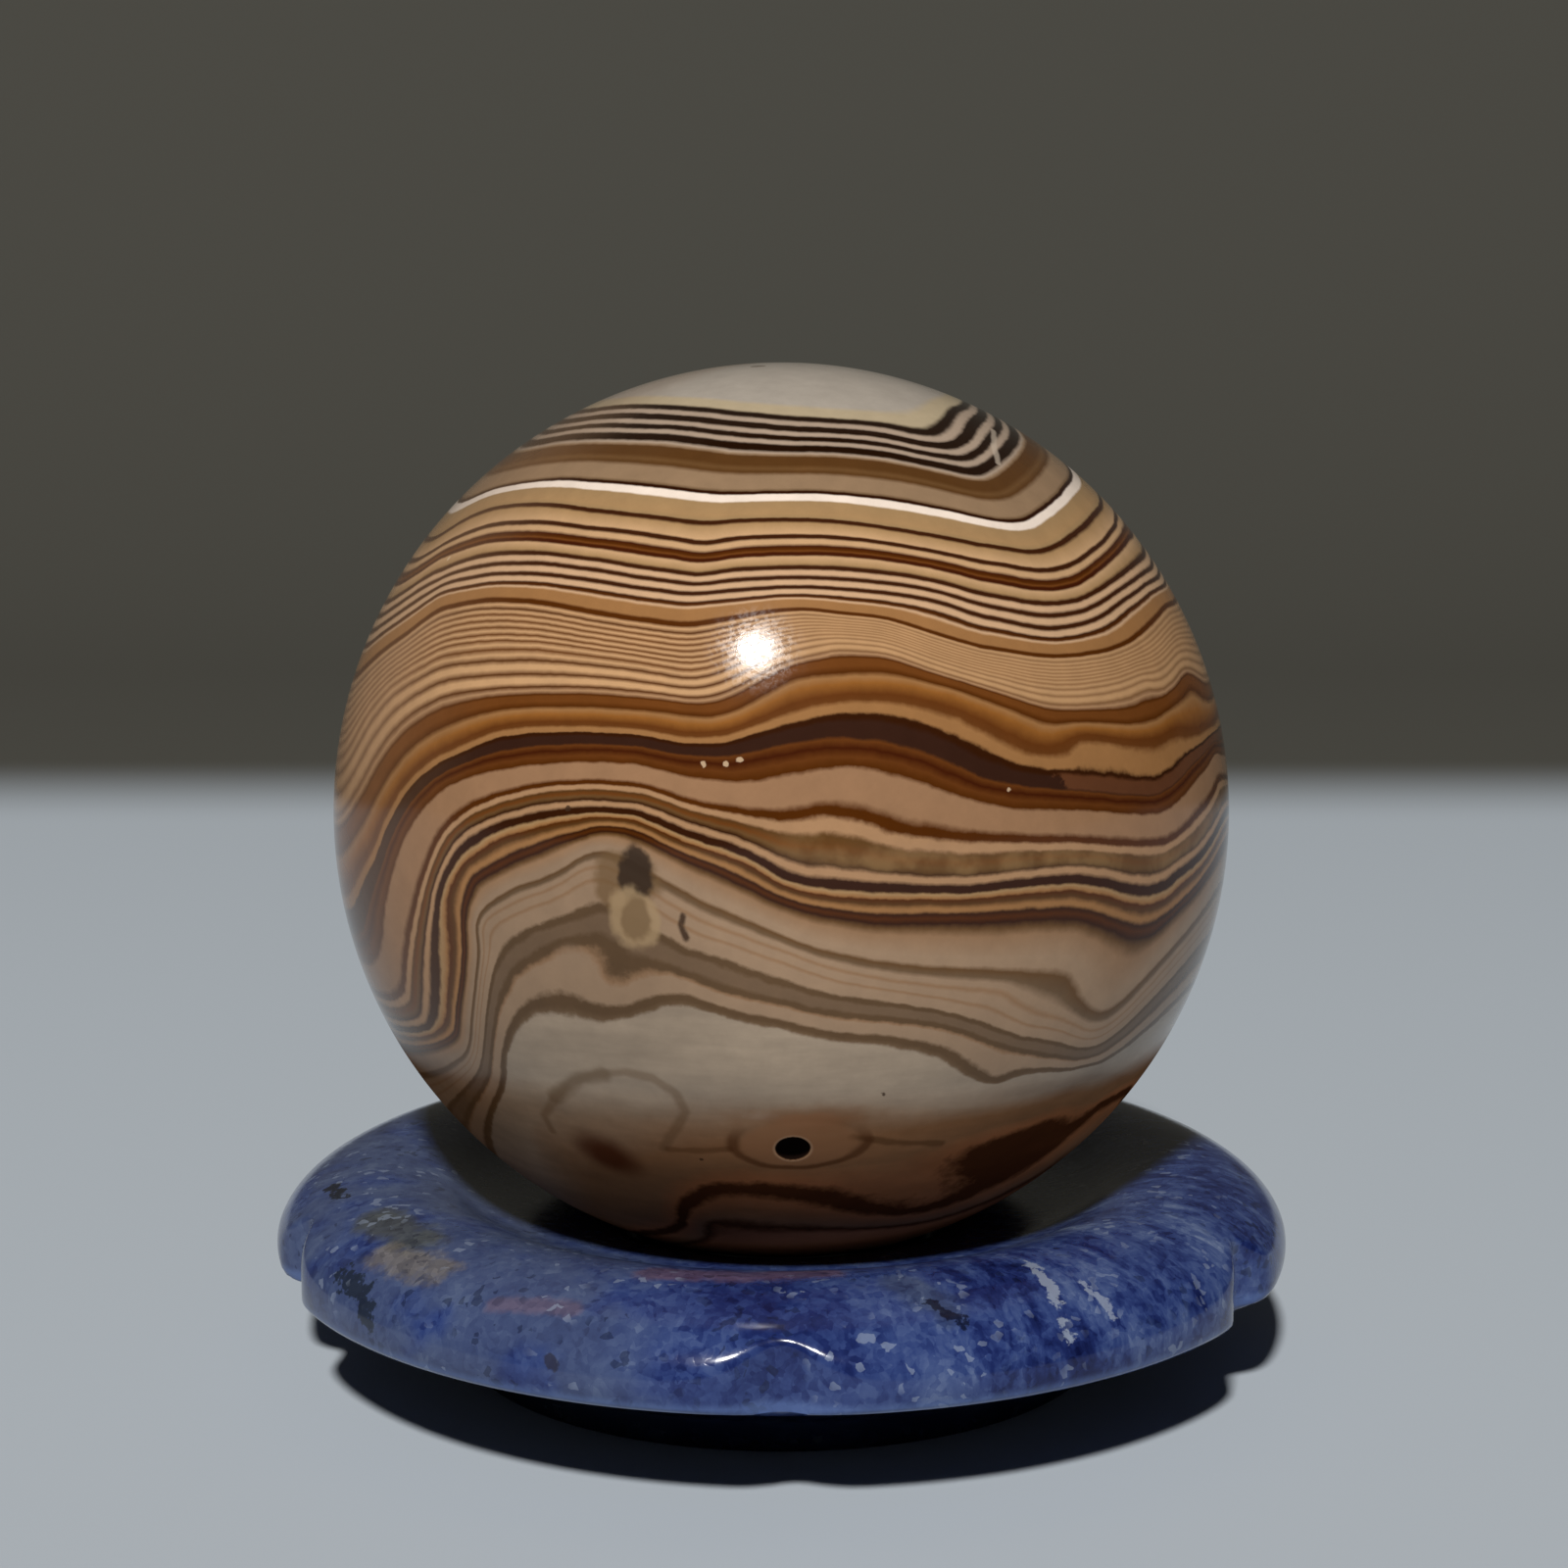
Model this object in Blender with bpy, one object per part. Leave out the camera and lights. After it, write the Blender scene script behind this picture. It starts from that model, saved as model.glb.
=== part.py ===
# A polished agate ball resting in a low, five-lobed ring stand of blue stone. Metres, +Z up.
# The origin is the centre of the stand's flat foot.

import math

import bmesh
import bpy
from mathutils import Matrix, Vector

SPHERE_RADIUS = 0.0300
SPHERE_SUBDIVISIONS = 5
SEAT_GAP = 0.0003  # clearance between the ball and the seat it rests on

PIT_RADIUS = 0.00112
PIT_DIRECTION = Vector((0.023, -0.829, -0.559))  # from the ball's centre, low on its front
PIT_CENTRE_DEPTH = 0.0001  # of the pit's centre under the polished surface

SEAT_RADIUS = 0.0130  # circle on which the ball rests
SEAT_HEIGHT = 0.0095
RIM_RADIUS = 0.0345  # the widest line of the bead, at the middle of a lobe
RIM_HEIGHT = 0.0082
BEAD_HALF_WIDTH = 0.0072  # the ring is a bead with an elliptical section
BEAD_HALF_HEIGHT = 0.00455
FOOT_RADIUS = 0.0220
FOOT_CHAMFER = 0.0006
FOOT_CHAMFER_HEIGHT = 0.0018
FOOT_FLARE = 0.0034  # how far the foot widens towards the underside of the bead
FOOT_FLARE_HEIGHT = 0.0037
EDGE_INSET = 0.0008  # rounding under the rim's lower edge
EDGE_HEIGHT = 0.00675
WELL_RADIUS = 0.0095
WELL_HEIGHT = 0.0044  # floor of the well under the ball
WELL_FILLET = 0.0012  # height of the rounding at the well's floor and of the one at its mouth
WELL_FOOT_INSET = 0.0018  # of the top of the floor's rounding, inside the seat
WELL_MOUTH_INSET = 0.0009  # of the foot of the mouth's rounding, inside the seat

# Each notch between two lobes is an upright flute: its angle in degrees, its depth, and its half
# width on the clockwise and on the anticlockwise side.
NOTCHES = [
    (15, 0.0017, 0.0034, 0.0034),
    (111, 0.0022, 0.0022, 0.0022),
    (198, 0.0024, 0.0017, 0.0030),
    (270, 0.0019, 0.0027, 0.0027),
    (333, 0.0024, 0.0030, 0.0017),
]
FLUTE_EDGE = 0.0004  # how softly a flute's upright wall runs into the bead
STAND_STEPS = 120  # around the stand, so that every notch angle falls on a step

CREST_RADIUS = RIM_RADIUS - BEAD_HALF_WIDTH
DISH_EDGE_ANGLE = 120  # degrees: where the bead's inner side runs into the dish
DISH_STEPS = 3
DISH_START_SLOPE = 0.25  # rise over run at the seat
BEAD_END_ANGLE = -21  # degrees: the lower edge of the rim, where the underside turns in
BEAD_STEPS = 8
CREASE_ANGLE = 50  # degrees: a sharper edge than this is shaded as an edge


def clear_scene():
    for thing in list(bpy.data.objects):
        bpy.data.objects.remove(thing, do_unlink=True)


def stone(name, colour, roughness):
    material = bpy.data.materials.new(name)
    material.use_nodes = True
    shader = material.node_tree.nodes["Principled BSDF"]
    shader.inputs["Base Color"].default_value = (*colour, 1.0)
    shader.inputs["Roughness"].default_value = roughness
    shader.inputs["Metallic"].default_value = 0.0
    return material


def place(name, mesh, material):
    mesh.materials.append(material)
    thing = bpy.data.objects.new(name, mesh)
    bpy.context.collection.objects.link(thing)
    return thing


def ball_centre():
    """The ball touches the seat circle but for the seat gap."""
    reach = SPHERE_RADIUS + SEAT_GAP
    return Vector((0, 0, SEAT_HEIGHT + math.sqrt(reach**2 - SEAT_RADIUS**2)))


def bead_point(degrees):
    """The point of the bead's section whose surface normal rises by this angle from the outward level."""
    across = BEAD_HALF_WIDTH * math.cos(math.radians(degrees))
    upward = BEAD_HALF_HEIGHT * math.sin(math.radians(degrees))
    length = math.hypot(across, upward)
    return (
        CREST_RADIUS + BEAD_HALF_WIDTH * across / length,
        RIM_HEIGHT + BEAD_HALF_HEIGHT * upward / length,
    )


def dish():
    """From the seat, in an easy hollow, up to the inner side of the bead."""
    edge_radius, edge_height = bead_point(DISH_EDGE_ANGLE)
    run = edge_radius - SEAT_RADIUS
    rise = edge_height - SEAT_HEIGHT
    start_slope = DISH_START_SLOPE * run
    end_slope = math.tan(math.radians(DISH_EDGE_ANGLE - 90)) * run
    points = []
    for step in range(DISH_STEPS):
        t = step / DISH_STEPS
        height = (3 * t**2 - 2 * t**3) * rise
        height += (t - 2 * t**2 + t**3) * start_slope + (t**3 - t**2) * end_slope
        points.append((SEAT_RADIUS + t * run, SEAT_HEIGHT + height))
    return points


def bead():
    """The rounded ring, from the dish over the crest and out around the rim to its lower edge."""
    share = (DISH_EDGE_ANGLE - BEAD_END_ANGLE) / BEAD_STEPS
    return [bead_point(DISH_EDGE_ANGLE - share * step) for step in range(BEAD_STEPS + 1)]


def foot():
    """From the rim's lower edge along the flat underside to the foot, and down to its flat edge."""
    return [
        (RIM_RADIUS - EDGE_INSET, EDGE_HEIGHT),
        (FOOT_RADIUS + FOOT_FLARE, FOOT_FLARE_HEIGHT),
        (FOOT_RADIUS + FOOT_CHAMFER, FOOT_CHAMFER_HEIGHT),
        (FOOT_RADIUS, 0.0),
    ]


def stand_profile():
    well = [
        (WELL_RADIUS, WELL_HEIGHT),
        (SEAT_RADIUS - WELL_FOOT_INSET, WELL_HEIGHT + WELL_FILLET),
        (SEAT_RADIUS - WELL_MOUTH_INSET, SEAT_HEIGHT - WELL_FILLET),
    ]
    return well + dish() + bead() + foot()


def lobed_outline(angle):
    """The rim's radius at this angle: drawn in at each notch, and hardly at all along the lobes."""
    depths = []
    for degrees, depth, clockwise, anticlockwise in NOTCHES:
        away = math.remainder(angle - math.radians(degrees), math.tau) * RIM_RADIUS
        half_width = clockwise if away < 0 else anticlockwise
        depths.append(depth / (1 + (away / half_width) ** 2))
    return RIM_RADIUS + FLUTE_EDGE - max(depths)


def carve_lobes(mesh):
    """Cuts the ring back to its lobed outline, with an upright wall whose edge is softened."""
    for vertex in mesh.verts:
        radius = math.hypot(vertex.co.x, vertex.co.y)
        outline = lobed_outline(math.atan2(vertex.co.y, vertex.co.x))
        inside = min(max(0.5 + 0.5 * (outline - radius) / FLUTE_EDGE, 0.0), 1.0)
        cut = outline * (1 - inside) + radius * inside - FLUTE_EDGE * inside * (1 - inside)
        if radius > 0:
            vertex.co.x *= cut / radius
            vertex.co.y *= cut / radius


def make_stand():
    shape = bmesh.new()
    corners = [shape.verts.new((radius, 0, height)) for radius, height in stand_profile()]
    edges = [shape.edges.new(pair) for pair in zip(corners, corners[1:])]
    bmesh.ops.spin(
        shape,
        geom=corners + edges,
        axis=(0, 0, 1),
        cent=(0, 0, 0),
        angle=math.tau,
        steps=STAND_STEPS,
        use_duplicate=False,
    )
    bmesh.ops.remove_doubles(shape, verts=shape.verts, dist=1e-6)
    bmesh.ops.holes_fill(shape, edges=[edge for edge in shape.edges if edge.is_boundary], sides=0)
    carve_lobes(shape)
    bmesh.ops.recalc_face_normals(shape, faces=shape.faces)
    mesh = bpy.data.meshes.new("stone_stand")
    shape.to_mesh(mesh)
    shape.free()
    mesh.shade_smooth()
    mesh.set_sharp_from_angle(angle=math.radians(CREASE_ANGLE))
    return place("stone_stand", mesh, stone("sodalite", (0.13, 0.19, 0.50), 0.15))


def make_pit_cutter(centre):
    """A small ball that bites a round pit out of the polished surface."""
    direction = PIT_DIRECTION.normalized()
    middle = centre + direction * (SPHERE_RADIUS - PIT_CENTRE_DEPTH)
    shape = bmesh.new()
    bmesh.ops.create_icosphere(
        shape, subdivisions=2, radius=PIT_RADIUS, matrix=Matrix.Translation(middle)
    )
    mesh = bpy.data.meshes.new("pit_cutter")
    shape.to_mesh(mesh)
    shape.free()
    cutter = bpy.data.objects.new("pit_cutter", mesh)
    bpy.context.collection.objects.link(cutter)
    cutter.hide_render = True
    cutter.display_type = "WIRE"
    return cutter


def make_ball():
    centre = ball_centre()
    shape = bmesh.new()
    bmesh.ops.create_icosphere(
        shape, subdivisions=SPHERE_SUBDIVISIONS, radius=SPHERE_RADIUS
    )
    mesh = bpy.data.meshes.new("agate_sphere")
    shape.to_mesh(mesh)
    shape.free()
    mesh.shade_smooth()
    ball = place("agate_sphere", mesh, stone("agate", (0.62, 0.45, 0.30), 0.08))
    ball.location = centre
    pit = ball.modifiers.new("pit", "BOOLEAN")
    pit.operation = "DIFFERENCE"
    pit.solver = "EXACT"
    pit.object = make_pit_cutter(centre)
    return ball


clear_scene()
make_stand()
make_ball()
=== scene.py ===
import math

import bpy
import numpy as np
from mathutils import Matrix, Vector


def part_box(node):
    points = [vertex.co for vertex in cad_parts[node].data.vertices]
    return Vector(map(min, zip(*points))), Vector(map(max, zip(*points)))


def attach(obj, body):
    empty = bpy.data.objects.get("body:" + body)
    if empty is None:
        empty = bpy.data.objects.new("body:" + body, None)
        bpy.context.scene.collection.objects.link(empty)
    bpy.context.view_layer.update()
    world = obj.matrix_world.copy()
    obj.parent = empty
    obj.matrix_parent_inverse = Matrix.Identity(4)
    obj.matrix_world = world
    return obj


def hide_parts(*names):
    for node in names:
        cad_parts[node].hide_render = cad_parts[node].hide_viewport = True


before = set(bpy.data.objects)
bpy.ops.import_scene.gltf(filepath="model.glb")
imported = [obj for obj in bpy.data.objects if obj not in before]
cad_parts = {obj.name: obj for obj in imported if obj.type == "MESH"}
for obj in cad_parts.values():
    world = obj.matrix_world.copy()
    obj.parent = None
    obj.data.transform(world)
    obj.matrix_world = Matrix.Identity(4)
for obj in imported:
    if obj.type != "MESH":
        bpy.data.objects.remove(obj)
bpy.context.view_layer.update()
ballLow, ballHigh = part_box("agate_sphere")
standLow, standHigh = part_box("stone_stand")
ballCentre = (ballLow + ballHigh) / 2
ballRadius = (ballHigh.x - ballLow.x) / 2
scene = bpy.context.scene


def tone(red, green, blue):
    # Display values from 0 to 255, made linear.
    out = []
    for value in (red, green, blue):
        share = value / 255
        out.append(share / 12.92 if share <= 0.04045 else ((share + 0.055) / 1.055) ** 2.4)
    return (*out, 1.0)


class Socket:
    # An output socket that takes part in sums, products and comparisons.

    def __init__(self, graph, out):
        self.graph = graph
        self.out = out

    def maths(self, operation, other=None, swapped=False, third=None):
        first, second = (other, self) if swapped else (self, other)
        return self.graph.maths(operation, first, second, third)

    def __add__(self, other):
        return self.maths("ADD", other)

    def __radd__(self, other):
        return self.maths("ADD", other, True)

    def __sub__(self, other):
        return self.maths("SUBTRACT", other)

    def __rsub__(self, other):
        return self.maths("SUBTRACT", other, True)

    def __mul__(self, other):
        return self.maths("MULTIPLY", other)

    def __rmul__(self, other):
        return self.maths("MULTIPLY", other, True)

    def __truediv__(self, other):
        return self.maths("DIVIDE", other)

    def __gt__(self, other):
        return self.maths("GREATER_THAN", other)

    def __lt__(self, other):
        return self.maths("LESS_THAN", other)

    def abs(self):
        return self.maths("ABSOLUTE")

    def max(self, other):
        return self.maths("MAXIMUM", other)

    def min(self, other):
        return self.maths("MINIMUM", other)

    def step(self, low, high):
        # 0 at low and 1 at high, smooth between; low may be above high.
        return self.graph.node("ShaderNodeMapRange", {"interpolation_type": "SMOOTHSTEP"},
                               Value=self, **{"From Min": low, "From Max": high})


class Graph:
    # The node tree of one material, built from wrapped sockets.

    def __init__(self, name, **constants):
        self.material = bpy.data.materials.new(name)
        self.material.use_nodes = True
        self.tree = self.material.node_tree
        self.shader = self.tree.nodes["Principled BSDF"]
        for key, value in constants.items():
            self.shader.inputs[key].default_value = value
        self.place = self.node("ShaderNodeTexCoord", out="Object")

    def give(self, socket, value):
        if isinstance(value, Socket):
            self.tree.links.new(value.out, socket)
        elif value is not None:
            socket.default_value = value

    def node(self, kind, settings=None, out=0, **values):
        made = self.tree.nodes.new(kind)
        for key, value in (settings or {}).items():
            setattr(made, key, value)
        for key, value in values.items():
            self.give(made.inputs[key], value)
        return Socket(self, made.outputs[out])

    def maths(self, operation, first, second=None, third=None):
        made = self.tree.nodes.new("ShaderNodeMath")
        made.operation = operation
        for socket, value in zip(made.inputs, (first, second, third)):
            self.give(socket, value)
        return Socket(self, made.outputs[0])

    def attribute(self, name):
        return self.node("ShaderNodeAttribute", {"attribute_name": name}, out="Fac")

    def moved(self, vector, scale=(1, 1, 1), place=(0, 0, 0)):
        return self.node("ShaderNodeMapping", Vector=vector, Scale=scale, Location=place)

    def noise(self, scale, detail=2.0, rough=0.5, vector=None, distortion=0.0, out="Fac"):
        return self.node("ShaderNodeTexNoise", out=out, Vector=vector or self.place, Scale=scale,
                         Detail=detail, Roughness=rough, Distortion=distortion)

    def cells(self, vector, scale):
        # A random number from 0 to 1 for each crystal grain.
        made = self.node("ShaderNodeTexVoronoi", out="Color", Vector=vector, Scale=scale)
        return self.part(made, "X")

    def part(self, vector, axis):
        return self.node("ShaderNodeSeparateXYZ", out=axis, Vector=vector)

    def added(self, first, second):
        return self.vectorMaths("ADD", first, second)

    def vectorMaths(self, operation, first, second=None, out="Vector"):
        made = self.tree.nodes.new("ShaderNodeVectorMath")
        made.operation = operation
        for socket, value in zip(made.inputs, (first, second)):
            self.give(socket, value)
        return Socket(self, made.outputs[out])

    def fromBall(self, direction):
        # Distance in mm from the point of the ball's surface in this direction.
        place = ballCentre + Vector(direction).normalized() * ballRadius
        return self.vectorMaths("DISTANCE", self.place, place, out="Value") * 1000

    def onRing(self, radius):
        # The point of a level circle round the middle that is nearest to the surface point.
        level = self.vectorMaths("MULTIPLY", self.place, (1, 1, 0))
        return self.brighten(self.vectorMaths("NORMALIZE", level), radius)

    def lifted(self, name, amount):
        # An attribute as a height.
        return self.node("ShaderNodeCombineXYZ", Z=self.attribute(name) * amount)

    def stain(self, colour, name, scale, ragged, edge, share, paint):
        # Colours a marking whose outline noise makes ragged; edge is where it starts and where it is full.
        mark = self.attribute(name) + (self.noise(scale, 3.0) - 0.5) * ragged
        return self.blend(mark.step(*edge) * share, colour, paint)

    def blend(self, share, first, second):
        made = self.tree.nodes.new("ShaderNodeMix")
        made.data_type = "RGBA"
        self.give(made.inputs["Factor"], share)
        self.give([s for s in made.inputs if s.name == "A" and s.type == "RGBA"][0], first)
        self.give([s for s in made.inputs if s.name == "B" and s.type == "RGBA"][0], second)
        return Socket(self, [s for s in made.outputs if s.type == "RGBA"][0])

    def brighten(self, colour, amount):
        # A colour times a plain number, which may vary.
        return self.node("ShaderNodeVectorMath", {"operation": "SCALE"}, out="Vector",
                         **{"Vector": colour, "Scale": amount})

    def ramp(self, value, stops):
        # A colour ramp over (position, colour) stops, positions in the value's own units.
        made = self.tree.nodes.new("ShaderNodeValToRGB")
        low, high = stops[0][0], stops[-1][0]
        marks = made.color_ramp.elements
        marks[0].position, marks[0].color = 0.0, stops[0][1]
        marks[1].position, marks[1].color = 1.0, stops[-1][1]
        for position, colour in stops[1:-1]:
            marks.new((position - low) / (high - low)).color = colour
        self.give(made.inputs["Fac"], (value - low) / (high - low))
        return Socket(self, made.outputs["Color"])

    def longRamp(self, value, stops, most=31):
        # Ramps joined end to end, because one holds only a few stops.
        colour = None
        start = 0
        while start < len(stops) - 1:
            part = stops[start:start + most]
            made = self.ramp(value, part)
            colour = made if colour is None else self.blend(value > part[0][0], colour, made)
            start += most - 1
        return colour

    def finish(self, colour, rough=None, bump=None, strength=0.2, distance=0.0002, dull=None):
        # Where dull is 1, a surface without any gloss takes over.
        self.give(self.shader.inputs["Base Color"], colour)
        self.give(self.shader.inputs["Roughness"], rough)
        if bump is not None:
            normal = self.node("ShaderNodeBump", out="Normal", Height=bump, Strength=strength,
                               Distance=distance)
            self.give(self.shader.inputs["Normal"], normal)
        if dull is not None:
            plain = self.tree.nodes.new("ShaderNodeBsdfPrincipled")
            plain.inputs["Roughness"].default_value = 1.0
            plain.inputs["Specular IOR Level"].default_value = 0.0
            self.give(plain.inputs["Base Color"], colour)
            mix = self.tree.nodes.new("ShaderNodeMixShader")
            self.give(mix.inputs["Fac"], dull)
            self.tree.links.new(self.shader.outputs[0], mix.inputs[1])
            self.tree.links.new(plain.outputs[0], mix.inputs[2])
            self.tree.links.new(mix.outputs[0], self.tree.nodes["Material Output"].inputs["Surface"])
        return self.material


def selectPoints(mesh, chosen):
    # The mesh's points that the next edit works on.
    mesh.vertices.foreach_set("select", chosen)
    mesh.edges.foreach_set("select", np.zeros(len(mesh.edges), bool))
    mesh.polygons.foreach_set("select", np.zeros(len(mesh.polygons), bool))
    bpy.context.tool_settings.mesh_select_mode = (True, False, False)


def deselect():
    bpy.ops.object.select_all(action="DESELECT")


def active():
    return bpy.context.view_layer.objects.active


def editing(operator, **values):
    bpy.ops.object.mode_set(mode="EDIT")
    operator(**values)
    bpy.ops.object.mode_set(mode="OBJECT")


def applied(thing, kind, **settings):
    # Adds a modifier and applies it at once.
    made = thing.modifiers.new(kind.lower(), kind)
    for key, value in settings.items():
        setattr(made, key, value)
    bpy.ops.object.modifier_apply(modifier=made.name)


def points(mesh):
    flat = np.empty(len(mesh.vertices) * 3)
    mesh.vertices.foreach_get("co", flat)
    return flat.reshape(-1, 3)


def putPoints(mesh, where):
    mesh.vertices.foreach_set("co", np.ascontiguousarray(where, float).ravel())
    mesh.update()


def carry(mesh, name, values):
    # One number for each point of the mesh, for the material to read.
    made = mesh.attributes.new(name, "FLOAT", "POINT")
    made.data.foreach_set("value", np.asarray(values, np.float32))


ball = {
    "firstCuts": 6,         # cuts along each side of the starting cube
    "halvings": 4,          # times that every face is split in four and rounded
    "pitCuts": 6,           # further cuts round the pit
    "lineCuts": 2,          # and along the thin lines of the markings
    "lineReach": 0.9,       # mm to each side of them
    "pitDirection": (0.023, -0.829, -0.559),
    "pitRadius": 0.00104,
    "pitDepth": 0.00095,
    "pitRound": 0.7,        # 0.5 would give upright walls
    "reading": 2.4,         # degrees between the points that the band field is laid through
    "smooth": 0.0015,       # eases the band field between its lines
}

# The photo's camera, lengths in metres and its frame in pixels.
view = {"rise": 8.7, "distance": 0.1896, "lens": 64.15, "sensor": 36, "frame": 1600,
        "right": 0.00018, "up": 0.00173}

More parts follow.
